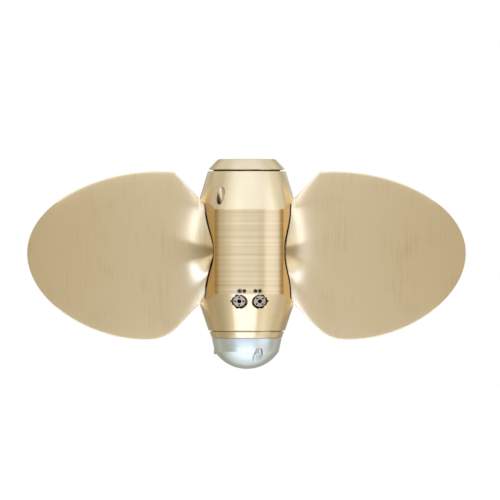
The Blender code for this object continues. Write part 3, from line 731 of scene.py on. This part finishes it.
# %% [markdown]
# ## Pitch dials
# Each dial is a small steel disc with a hexagon socket and four dots, down in a round pocket of the after
# cone. Turning it sets the blades' stop. Round the pocket there are a pointer notch on the outer side, a
# shallow greasy ledge on the inner side, and eight flat scallops, which break the rim into dashes. The notch,
# scallops, socket, dots and screw holes are painted near-black and the pocket and ledge brown: grease, and
# painted shade in these hollows. The places come from the joints' own positions and axes.

# %% Dials, lock screws and stop pins
DIAL_R = 5.2 * MM
DIAL_THICKNESS = 3.0 * MM
DIAL_RECESS = 1.1 * MM
DIAL_ROUNDING = 0.25 * MM
DIAL_KEY = 3.6 * MM
DIAL_KEY_DEPTH = 1.8 * MM
DOTS = 4
DOT_R = 0.85 * MM
DOT_DEPTH = 1.0 * MM
DOT_CIRCLE_R = 3.6 * MM
FIRST_DOTS = {"left": 0, "right": 45}
POCKET_R = 6.0 * MM
POCKET_REACH = 8.0 * MM
POINTER_REACH = 8.4 * MM
POINTER_R = 2.0 * MM
POINTER_SIDES = 3
POINTER_DEPTH = 3.2 * MM
LEDGE_DEPTH = 0.9 * MM
LEDGE_SHIFT = 1.4 * MM
SCALLOPS = 8
SCALLOP_R = 0.6 * MM
SCALLOP_STRETCH = 2.6  # length along the rim, as a multiple of the width
SCALLOP_CIRCLE_R = 6.1 * MM
SCALLOP_DEPTH = 2.4 * MM
SMALL_SCREW_KEY = 2.5 * MM
SMALL_SCREW_KEY_DEPTH = 1.5 * MM
SMALL_HOLE_REACH = 4.0 * MM


def make_dial(side, sign):
    """A dial, and the cuts in the barrel that it needs."""
    joint = joints[f"dial_{side}_turn"]
    place = facing(joint["pos_m"], joint["axis"])
    floor = -DIAL_RECESS - DIAL_THICKNESS - GAP
    aim = Matrix.Diagonal((sign, sign, 1, 1))  # a half turn on the left side
    outwards = Matrix.Translation((sign * (POINTER_REACH - POINTER_R), 0, 0)) @ aim
    inwards = Matrix.Translation((-sign * LEDGE_SHIFT, 0, 0))
    stretched = Matrix.Translation((SCALLOP_CIRCLE_R, 0, 0)) @ Matrix.Diagonal((1, SCALLOP_STRETCH, 1, 1))
    # Scallops and notch get near-black grease, pocket and ledge greasy bronze: grease and painted shade.
    for number in range(SCALLOPS):
        turn = Matrix.Rotation(math.tau * (number + 0.5) / SCALLOPS, 4, "Z")
        scallop = painted(rod(SCALLOP_R, -SCALLOP_DEPTH, POCKET_REACH, TINY_ROUND), GREASED_AND_SHADED)
        barrel_tools.append(placed(scallop, place @ turn @ stretched))
    pocket = painted(rod(POCKET_R, floor, POCKET_REACH), GREASY_AND_SHADED)
    notch = placed(rod(POINTER_R, -POINTER_DEPTH, POCKET_REACH, POINTER_SIDES), outwards)
    ledge = painted(placed(rod(POCKET_R, -LEDGE_DEPTH, POCKET_REACH), inwards), GREASY_AND_SHADED)
    for tool in (pocket, painted(notch, GREASED_AND_SHADED), ledge):
        barrel_tools.append(placed(tool, place))
    disc = rod(DIAL_R, floor + GAP, -DIAL_RECESS, rounding=DIAL_ROUNDING)
    # The socket and the dots get the near-black grease: painted shade in them.
    cuts = [painted(hexagon(DIAL_KEY, -DIAL_RECESS - DIAL_KEY_DEPTH, MM), GREASED_AND_SHADED)]
    for number in range(DOTS):
        angle = math.radians(FIRST_DOTS[side]) + math.tau * number / DOTS
        spot = Matrix.Translation((DOT_CIRCLE_R * math.cos(angle), DOT_CIRCLE_R * math.sin(angle), 0))
        cuts.append(painted(placed(rod(DOT_R, -DIAL_RECESS - DOT_DEPTH, MM, TINY_ROUND), spot), GREASED_AND_SHADED))
    finished(
        f"dial_disc_{side}", placed(carved(disc, cuts), place), dull_steel,
        f"{side}_dial", f"pitch_dial_{side}",
    )


def make_small_screw(node, material, with_socket):
    """A headless screw or pin that faces the front, in its hole through the band."""
    low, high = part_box(node)
    centre = (low + high) / 2
    place = facing((centre.x, low.y, centre.z), (0, -1, 0))
    length = high.y - low.y
    radius = (high.x - low.x) / 2
    # The hole round the pin gets the near-black grease: painted shade in the gap.
    hole = painted(rod(radius + GAP, -length - GAP, SMALL_HOLE_REACH), GREASED_AND_SHADED)
    barrel_tools.append(placed(hole, place))
    pin = rod(radius, -length, 0, rounding=FINE_EDGE)
    if with_socket:
        pin = carved(pin, [painted(hexagon(SMALL_SCREW_KEY, -SMALL_SCREW_KEY_DEPTH, MM), GREASED_AND_SHADED)])
    finished(f"fine_{node}", placed(pin, place), material, "hub_barrel", node)


for side, sign in SIDES.items():
    make_dial(side, sign)
    make_small_screw(f"dial_lock_screw_{side}", stainless, True)
    # The stop pins are greasy bronze: grease, and painted shade on the recessed pins.
    make_small_screw(f"dial_stop_pin_{side}", greasy_shaded_bronze, False)
print("dials made,", len(barrel_tools), "tools so far")

# %% [markdown]
# ## Oblique drillings and their plugs
# A drilling runs aft and inwards from the forward cone, one in front and one behind, closed by a plug with a
# hexagon socket. Because the tool entered at a slant, its mouth is a long pointed oval. One side of its wall
# is painted greasy brown, for grease and for painted shade, and the other is left clean.

# %% Drillings, plugs, and the barrel itself
DRILLING_ANGLE = math.radians(37.7)
DRILLING_Z = -31.7 * MM
DRILLING_SLANT = math.radians(27.5)
DRILLING_R = 3.8 * MM
DRILLING_DEPTH = 13 * MM
DRILLING_REACH = 24 * MM
PLUG_R = 3.5 * MM
PLUG_LENGTH = 4.2 * MM
PLUG_KEY = 4.0 * MM


def make_drilling(node, turn):
    """A drilling at a slant to the cone, and the plug at its bottom."""
    out = Vector((-math.sin(DRILLING_ANGLE), -math.cos(DRILLING_ANGLE), 0))
    slope = math.atan((BAND_R - HOUSING_TOP_R) / (HOUSING_TOP - BAND_TOP))
    normal = out * math.cos(slope) + Vector((0, 0, math.sin(slope)))
    along = out * math.sin(slope) - Vector((0, 0, math.cos(slope)))
    inwards = along * math.cos(DRILLING_SLANT) - normal * math.sin(DRILLING_SLANT)
    mouth = out * cone_radius(DRILLING_Z) + Vector((0, 0, DRILLING_Z))
    place = Matrix.Rotation(turn, 4, "Z") @ facing(mouth, -inwards, up=normal)
    drilling = rod(DRILLING_R, -DRILLING_DEPTH, DRILLING_REACH)
    # Painted shade: one side of the wall gets greasy bronze, and the plug is greasy bronze too.
    for face in drilling.faces:
        face.material_index = GREASY_AND_SHADED if face.calc_center_median().x < -DRILLING_R / 3 else OWN
    barrel_tools.append(placed(drilling, place))
    low = -DRILLING_DEPTH + GAP
    plug = rod(PLUG_R, low, low + PLUG_LENGTH, rounding=EDGE)
    socket = hexagon(PLUG_KEY, low + PLUG_LENGTH / 2, low + PLUG_LENGTH + MM)
    finished(
        f"fine_{node}", placed(carved(plug, [socket]), place), greasy_shaded_bronze,
        "hub_barrel", node,
    )


make_drilling("front_plug", 0)
make_drilling("rear_plug", math.pi)
barrel = finished(
    "turned_barrel", carved(barrel, barrel_tools), turned_bronze,
    "hub_barrel", "hub_housing", sharp_angle=18,
)
barrel.data.materials.append(milled_bronze)
barrel.data.materials.append(greasy_shaded_bronze)
print("barrel:", len(barrel.data.polygons), "faces after", len(barrel_tools), "cuts")

# %% [markdown]
# ## The blades
# A blade is a thin plate with a broad, rounded outline, thick and round where it turns in the hub and fairing
# quickly down to the plate. A grid is bent into that shape: each of its rows becomes one section, from the
# root to the tip, and goes round both faces. The outline is drawn with curves whose handles are named, and
# the thickness is a formula, so the rows can be as many as the surface needs.

# %% Blade outline
SEAM_FACE = 1.9 * MM
SEAM_LIP = 1.2 * MM
LIP_SHARE = 0.6  # the seam's width at the lip, as a share of SEAM_FACE
ROOT_FILLET_STEPS = 10
JOURNAL_R = ROOT_BORE_R - GAP
JOURNAL_END = 28.0 * MM
NECK_R = 30.0 * MM
FLANGE_R = 41.4 * MM
RIM_R = SEAT_WALL_R - GAP
RIM_END = 41.5 * MM
TIP_CUT = 0.1 * MM  # the outline's point, which is left off
TIP = (BLADE_TIP_X + TIP_CUT, -1.6 * MM)
FORWARD_START = (42.2 * MM, 46.6 * MM)
SHOULDER = (63.4 * MM, 69.1 * MM)
SHOULDER_HANDLE = (61.2 * MM, 4.3 * MM)
FORWARD_TIP_HANDLE = 44.4 * MM
AFTER_START = (42.2 * MM, -47.0 * MM)
AFTER_START_HANDLE = (19.2 * MM, -18.0 * MM)
LOBE = (87.0 * MM, -77.2 * MM)
LOBE_INNER_HANDLE = 21.8 * MM
LOBE_OUTER_HANDLE = 50.0 * MM
AFTER_TIP_HANDLE = 40.6 * MM
CURVE_STEPS = 120


def bezier(corners):
    """Points of a cubic curve: its start, two handles, and its end."""
    a, b, c, d = (Vector(corner) for corner in corners)
    shares = [step / CURVE_STEPS for step in range(CURVE_STEPS + 1)]
    return [
        tuple(a * (1 - t)**3 + b * (3 * t * (1 - t)**2) + c * (3 * t * t * (1 - t)) + d * t**3)
        for t in shares
    ]


def root_profile():
    """Radius of the blade root along the spindle, as (reach, radius): journal, neck and flange."""
    fillet = seat_fillet(ROOT_FILLET_STEPS)
    lip = [(reach + SEAM_FACE * LIP_SHARE, radius - SEAM_LIP) for radius, reach in fillet]
    return [
        (ROOT_BORE_FLOOR + GAP, JOURNAL_R),
        (JOURNAL_END, JOURNAL_R),
        (JOURNAL_END + GAP, NECK_R),
        *lip,
        (SEAT_FLAT_X + SEAM_FACE, FLANGE_R),
        (SEAT_WALL_X + SEAM_FACE, RIM_R),
        (RIM_END, RIM_R),
    ]


forward_curve = bezier([
    SHOULDER,
    (SHOULDER[0] + SHOULDER_HANDLE[0], SHOULDER[1] + SHOULDER_HANDLE[1]),
    (TIP[0], TIP[1] + FORWARD_TIP_HANDLE),
    TIP,
])
after_inner = bezier([
    AFTER_START,
    (AFTER_START[0] + AFTER_START_HANDLE[0], AFTER_START[1] + AFTER_START_HANDLE[1]),
    (LOBE[0] - LOBE_INNER_HANDLE, LOBE[1]),
    LOBE,
])
after_outer = bezier([
    LOBE,
    (LOBE[0] + LOBE_OUTER_HANDLE, LOBE[1]),
    (TIP[0], TIP[1] - AFTER_TIP_HANDLE),
    TIP,
])
forward_edge = root_profile() + [FORWARD_START] + forward_curve
after_edge = [(x, -radius) for x, radius in root_profile()] + after_inner + after_outer[1:]
print("outline points:", len(forward_edge), "forward,", len(after_edge), "after")

# %% [markdown]
# ## The blades' thickness
# Half the thickness at any point is a plate that thins towards the tip and towards its edges, plus two forms
# that swell towards the root. One is a low, broad shelf. The other is a crest along the spindle, as high as
# the hub's own depth at the seam, which slopes gently on its forward side and steeply on its after side. A
# vertex attribute holds grease and painted shade in a line beside the hub, and painted shade along the crest.

# %% Blade thickness and sections
BLADE_HALF_ROOT = 3.8 * MM
BLADE_HALF_TIP = 1.8 * MM
BLADE_HALF_EDGE = 0.6 * MM
EDGE_FULLNESS = 0.35  # nearer to 0 would be squarer
FAIRING_START = 30.0 * MM
SHELF_HEIGHT = 8.0 * MM
SHELF_LENGTH = 12.0 * MM
CREST_HEIGHT = 19.4 * MM
CREST_LENGTH = 13.0 * MM
CREST_Z = 0.4 * MM
CREST_HALF = 2.8 * MM
CREST_SPREAD = 0.22
CREST_ROUNDING = 1.5 * MM
OVER_WIDTH = 32.0 * MM
OVER_POWER = 1.5
UNDER_WIDTH = 14.0 * MM
UNDER_POWER = 2
UNDER_SPREAD = 0.9
# Grease and painted shade beside the hub: wider on the right, where the hub's edge hides more from the
# camera.
SEAM_WIDTHS = {"left": 0.8 * MM, "right": 2.4 * MM}
SEAM_SOFTNESS = 0.35 * MM
SEAM_PALE_HEIGHT = 9 * MM
SEAM_PALEST = 0.7  # strength of the seam's grease and painted shade where it crosses the crest
CREST_SHADE = 0.38
CREST_SHADE_LENGTH = 12 * MM
CREST_SHADE_HALF = 2.6 * MM
CREST_SHADE_SPREAD = 0.2
BLADE_AROUND = 160
ROOT_ROW = 0.35 * MM
ROWS_TO_SHOULDER = 26
ROWS_TO_LOBE = 14
ROWS_TO_TIP = 46
SHOULDER_GROWTH = 1.2
LOBE_GROWTH = 1.1
TINY = 1e-9


def half_thickness(x, z, middle, half_chord):
    """Half the blade's thickness at a reach x and a height z over the spindle."""
    across = min(1, abs(z - middle) / half_chord)
    round_part = half_chord * math.sqrt(max(0, 1 - across * across))
    if x < JOURNAL_END:
        return round_part
    reach = max(0, (x - SEAT_FLAT_X) / (TIP[0] - SEAT_FLAT_X))
    plate = BLADE_HALF_ROOT + (BLADE_HALF_TIP - BLADE_HALF_ROOT) * reach
    lens = 1 - min(across, abs(z - middle) / FORWARD_START[1])**2
    foil = (plate - BLADE_HALF_EDGE) * lens + BLADE_HALF_EDGE * (1 - (1 - lens)**4)**EDGE_FULLNESS
    out = max(0, x - FAIRING_START)
    shelf = SHELF_HEIGHT * math.exp(-out / SHELF_LENGTH) * lens
    past = abs(z - CREST_Z) - CREST_HALF - CREST_SPREAD * out
    beyond = (past + math.hypot(past, CREST_ROUNDING)) / 2
    over = max(0, 1 - beyond / OVER_WIDTH)**OVER_POWER
    under = max(0, 1 - beyond / (UNDER_WIDTH + UNDER_SPREAD * out))**UNDER_POWER
    crest = CREST_HEIGHT * math.exp(-out / CREST_LENGTH) * (over if z > CREST_Z else under)
    return min(round_part, foil + shelf + crest)


def hub_edge(z):
    """Reach of the edge between the hub's outside and the blade's seat, z above the spindle."""
    low, high = ROOT_BORE_FLOOR, SEAT_WALL_X
    while high - low > MERGE:
        reach = (low + high) / 2
        if math.hypot(housing_depth(reach, z), z) > height_at(seat_profile, reach):
            low = reach
        else:
            high = reach
    return low


def seam_grease_and_shade(x, z, width):
    """How much grease and painted shade darken the blade here, from 0 to 1, beside the hub and on the crest.
    """
    if abs(z) > SEAT_FLAT_R:
        return 0
    out = x - hub_edge(z)
    beside = min(1, max(0, (width - out) / SEAM_SOFTNESS + 0.5))
    line = beside * min(1, SEAM_PALEST + (1 - SEAM_PALEST) * abs(z) / SEAM_PALE_HEIGHT)
    # Painted shade along the crest, fading outwards from the hub.
    off_crest = (z - CREST_Z) / (CREST_SHADE_HALF + CREST_SHADE_SPREAD * max(0, out))
    crest_shade = CREST_SHADE * math.exp(-max(0, out) / CREST_SHADE_LENGTH - off_crest**2)
    return max(line, crest_shade)


def spaced(low, high, count, power):
    """Values after low and up to high, whose steps grow where the power is over 1."""
    return [low + (high - low) * (step / count)**power for step in range(1, count + 1)]


def blade_rows():
    """The reach of every section, close together at the root and at the tip."""
    span = TIP[0] - LOBE[0]
    quarter = [math.pi / 2 * step / ROWS_TO_TIP for step in range(1, ROWS_TO_TIP)]
    to_tip = [TIP[0] - span * (1 - math.sin(angle)) for angle in quarter]
    root = {x for x, radius in root_profile()}
    root.update(JOURNAL_END + ROOT_ROW * step for step in range(2, int((RIM_END - JOURNAL_END) / ROOT_ROW)))
    return [
        *sorted(root),
        FORWARD_START[0],
        *spaced(FORWARD_START[0], SHOULDER[0], ROWS_TO_SHOULDER, SHOULDER_GROWTH),
        *spaced(SHOULDER[0], LOBE[0], ROWS_TO_LOBE, LOBE_GROWTH),
        *to_tip,
        TIP[0] - TIP_CUT,
    ]


def make_blade(side, sign):
    """Bend a grid into a blade: its Y runs from root to tip, and its X goes round each section."""
    rows = blade_rows()
    bm = bmesh.new()
    bmesh.ops.create_grid(bm, x_segments=BLADE_AROUND, y_segments=len(rows) - 1, size=0.5)
    for vert in bm.verts:
        turn = math.tau * (vert.co.x + 0.5)
        x = rows[round((vert.co.y + 0.5) * (len(rows) - 1))]
        high = height_at(forward_edge, x)
        low = height_at(after_edge, x)
        middle = (high + low) / 2
        half_chord = (high - low) / 2
        z = middle + half_chord * math.sin(turn)
        thickness = half_thickness(x, z, middle, half_chord)
        face = math.cos(turn)
        vert.co = (math.copysign(thickness, face) if abs(face) > TINY else 0, z, x)
    bmesh.ops.remove_doubles(bm, verts=bm.verts, dist=MERGE)
    bmesh.ops.holes_fill(bm, edges=bm.edges, sides=BLADE_AROUND)
    bmesh.ops.recalc_face_normals(bm, faces=bm.faces)
    grease_and_shade_layer = bm.verts.layers.float.new("grease")
    for vert in bm.verts:
        vert[grease_and_shade_layer] = seam_grease_and_shade(vert.co.z, vert.co.y, SEAM_WIDTHS[side])
    along = bm.loops.layers.uv.new("along_the_blade")
    for face in bm.faces:
        for loop in face.loops:
            loop[along].uv = (loop.vert.co.z, loop.vert.co.y)
    return finished(
        f"brushed_blade_{side}", placed(bm, blade_place(sign)), brushed_bronze,
        f"{side}_blade", f"blade_{side}", sharp_angle=40,
    )


blades = [make_blade(side, sign) for side, sign in SIDES.items()]
print("blades:", [len(blade.data.polygons) for blade in blades], "faces")

# %% [markdown]
# ## Light
# Polished metal shows what stands round it more than it shows itself. A product photographer stands it in a
# white tent: bright above and below, with a darker belt at eye level, where the tent is open for the camera.
# The world is that tent. Its brightness is the product of two ramps, one over the height and one from the
# front to the back. Its dim parts are a little warm and its bright parts a little cool. Only reflections and
# surfaces see it; behind the object the camera sees plain white.

# %% The tent
BY_ELEVATION = {  # in degrees above the horizon
    -90: 1.45, -60: 1.3, -37: 0.7, -20: 0.79, -6: 0.86, 0: 0.80,
    8: 0.78, 20: 0.9, 33: 1.5, 50: 1.5, 90: 1.4,
}
BY_DEPTH = {  # from -1, the front, to 1, the back
    -1: 0.89, -0.86: 0.89, -0.64: 0.74, -0.26: 0.60, 0: 0.56,
    0.15: 0.58, 0.3: 0.66, 0.45: 0.72, 0.6: 0.52, 1: 0.5,
}
BY_BRIGHTNESS = {0.2: "#FFF6E2", 0.3: "#FFFDF8", 0.38: "#F6FAFF", 0.48: "#EAF4FF"}
TENT_PEAK = 1.5

world = bpy.data.worlds.new("white_tent")
bpy.context.scene.world = world
world.use_nodes = True
tree = world.node_tree
background = tree.nodes["Background"]
direction = add_node(tree, "ShaderNodeTexCoord")
axes = add_node(tree, "ShaderNodeSeparateXYZ", links={0: direction.outputs["Generated"]})


def tent_ramp(axis, values):
    """Brightness that follows one axis of the direction, from -1 to 1, as a share of the tent's peak."""
    stops = [((value + 1) / 2, (level / TENT_PEAK,) * 3 + (1.0,)) for value, level in values.items()]
    share = add_node(tree, "ShaderNodeMapRange", {1: -1.0, 2: 1.0}, {0: axes.outputs[axis]})
    return add_node(tree, "ShaderNodeValToRGB", {"stops": stops}, {0: share.outputs[0]}).outputs[0]


over_height = tent_ramp("Z", {math.sin(math.radians(angle)): level for angle, level in BY_ELEVATION.items()})
over_depth = tent_ramp("Y", BY_DEPTH)
product = add_math(tree, "MULTIPLY", over_height, over_depth)
strength = add_math(tree, "MULTIPLY", product, TENT_PEAK**2)
camera_ray = add_node(tree, "ShaderNodeLightPath").outputs["Is Camera Ray"]
seen = add_node(tree, "ShaderNodeMix", {"data_type": "FLOAT", 3: 1.0}, {0: camera_ray, 2: strength})
backdrop = add_mix(tree, camera_ray, add_tint(tree, BY_BRIGHTNESS, product), "#FFFFFF")
tree.links.new(seen.outputs[0], background.inputs["Strength"])
tree.links.new(backdrop, background.inputs["Color"])
print("tent brightness at", len(BY_ELEVATION), "elevations")

# %% [markdown]
# ## Softboxes
# Area lights make the crisp upright bands on the hub. One stands to the right and lights a plain light strip
# beside the streaked band. A broad one lies low in front and burns out the middle of the after cone, with a
# faint one to its right, and the table's own glow comes from below. Three high ones turn the forward cone
# into an even cream, one overhead does so for the forward ring, and two behind edge the cone. Most are
# bluish, because the bronze's own yellow would otherwise be too strong. An area light's power is its
# brightness times its area times pi, so brightness can be set as in the tent.

# %% Softboxes
SOFTBOX_DISTANCE = 1.2  # m


def add_softbox(name, azimuth, elevation, size, brightness, hex_colour="#FFFFFF"):
    """A rectangular light, its size in metres, aimed at the hub. Azimuth 0 is the front, 90 the right."""
    turn = math.radians(azimuth)
    rise = math.radians(elevation)
    away = Vector((math.sin(turn) * math.cos(rise), -math.cos(turn) * math.cos(rise), math.sin(rise)))
    light = bpy.data.lights.new(name, "AREA")
    light.shape = "RECTANGLE"
    light.size, light.size_y = size
    light.energy = brightness * math.pi * size[0] * size[1]
    light.color = to_linear(hex_colour)[:3]
    item = bpy.data.objects.new(name, light)
    item.location = Vector((0, 0, SPINDLE_Z)) + away * SOFTBOX_DISTANCE
    item.rotation_mode = "QUATERNION"
    item.rotation_quaternion = away.to_track_quat("Z", "Y")
    item.visible_camera = False
    bpy.context.scene.collection.objects.link(item)


add_softbox("low_front", -8.5, -38, (1.25, 0.45), 2.9, "#B4CAFF")
add_softbox("table", 0, -75, (2.0, 1.0), 0.5, "#EEF6FF")
add_softbox("low_right", 75, -37, (1.7, 0.6), 0.3)
add_softbox("right_side", 57, 0, (0.8, 0.9), 0.82, "#C4D4FF")
add_softbox("high_front", 5, 35, (3.6, 0.36), 1.35, "#BCCCFF")
add_softbox("high_left", -42, 23, (1.2, 0.4), 0.42, "#DCEBFF")
add_softbox("high_right", 76, 24, (1.0, 0.4), 0.6, "#DCEBFF")
add_softbox("overhead", 0, 84, (1.3, 0.9), 0.6, "#A9B4FF")
add_softbox("left_rear", -145, 12, (0.8, 0.4), 0.35, "#CCDBFF")
add_softbox("right_rear", 145, 12, (0.8, 0.4), 0.45, "#CCDBFF")

# %% [markdown]
# ## Floor and camera
# The floor is plain and pale, below the picture's edge. The camera stands level with the spindle and a little
# to the left, as in the photograph, and far away with a long lens, because the photograph shows almost no
# perspective.

# %% Floor and camera
FLOOR_Z = -0.300
FLOOR_SIZE = 12.0
FLOOR_GLOW = 0.35
PICTURE_WIDTH = 434 * MM
PICTURE_CENTRE = (2.8 * MM, -78.8 * MM)  # from the shaft axis and the forward face
CAMERA_AZIMUTH = math.radians(-3.5)
LENS = 600  # mm, as Blender gives lenses
SENSOR = 36  # mm
CLIP_END = 100  # m

floor_bm = bmesh.new()
bmesh.ops.create_grid(floor_bm, x_segments=1, y_segments=1, size=FLOOR_SIZE / 2)
floor = loose_object("pale_floor", placed(floor_bm, Matrix.Translation((0, 0, FLOOR_Z))))
pale, _, floor_shader = new_material("pale_paper", "#F6F6F4", 0.9, metallic=0.0)
floor_shader.inputs["Emission Color"].default_value = (1, 1, 1, 1)
floor_shader.inputs["Emission Strength"].default_value = FLOOR_GLOW
floor.data.materials.append(pale)
floor.visible_glossy = False
floor.visible_shadow = False

back = Vector((math.sin(CAMERA_AZIMUTH), -math.cos(CAMERA_AZIMUTH), 0))
right = Vector((math.cos(CAMERA_AZIMUTH), math.sin(CAMERA_AZIMUTH), 0))
camera_data = bpy.data.cameras.new("camera")
camera_data.lens = LENS
camera_data.sensor_width = SENSOR
camera_data.clip_end = CLIP_END
camera = bpy.data.objects.new("camera", camera_data)
bpy.context.scene.collection.objects.link(camera)
aim = right * PICTURE_CENTRE[0] + Vector((0, 0, PICTURE_CENTRE[1]))
camera.location = aim + back * (PICTURE_WIDTH * LENS / SENSOR)
camera.rotation_mode = "QUATERNION"
camera.rotation_quaternion = back.to_track_quat("Z", "Y")
bpy.context.scene.camera = camera
bpy.context.scene.view_settings.view_transform = "Standard"
print("camera stands", round((camera.location - aim).length, 2), "m away")
